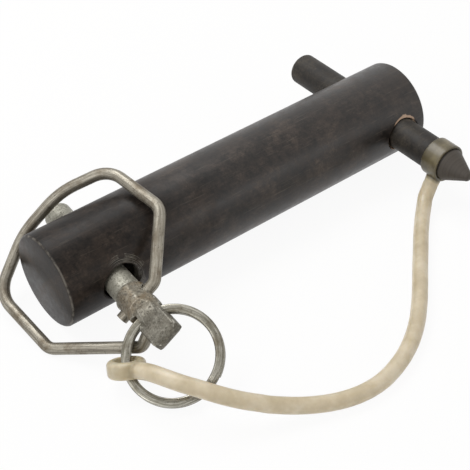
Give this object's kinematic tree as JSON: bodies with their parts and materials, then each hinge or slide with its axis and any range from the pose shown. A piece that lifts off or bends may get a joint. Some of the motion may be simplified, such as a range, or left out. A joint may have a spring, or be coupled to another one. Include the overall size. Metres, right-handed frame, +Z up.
{
  "type": "top link pin",
  "caption": "Steel link pin with a cross bar at one end and a wire-bail safety pin through the other, joined by a moulded tether on a split ring.",
  "frame": {"origin": "centre of the shank's near end face, where the safety pin is", "axes": "+X along the shank towards the cross bar, Y along the cross bar with its pointed end at -Y, +Z up"},
  "size_m": [0.1273, 0.1045, 0.0301],
  "materials": {
    "shank": "black oxide, oiled, with brown mottling",
    "cross_bar": "black oxide",
    "linchpin": "cast, dull zinc",
    "bail": "zinc plated drawn wire",
    "ring": "nickel plated spring steel",
    "tether": "cloudy ivory moulded plastic"
  },
  "bodies": {
    "shank": {"shank": "shank", "cross_bar": "cross_bar", "tether_loop": "tether", "tether_strap": "tether"},
    "linchpin": {"linchpin": "linchpin", "tether_eyelet": "tether"},
    "bail": {"snap_bail": "bail"},
    "ring": {"split_ring": "ring"}
  },
  "joints": [
    {"name": "linchpin_slide", "type": "slide", "parent": "shank", "child": "linchpin", "axis": [-0.0715, -0.9974, 0], "range_m": [-0.003, 0.001], "deforming": ["tether_strap"]},
    {"name": "bail_hinge", "type": "hinge", "parent": "linchpin", "child": "bail", "pos_m": [0.01351, -0.02075, 0], "axis": [0.8171, -0.0586, 0.5736], "range_deg": [0, 120]},
    {"name": "ring_turn", "type": "hinge", "parent": "linchpin", "child": "ring", "pos_m": [0.01217, -0.03716, -0.00473], "axis": [-0.4082, -0.3927, 0.8241], "continuous": true}
  ]
}
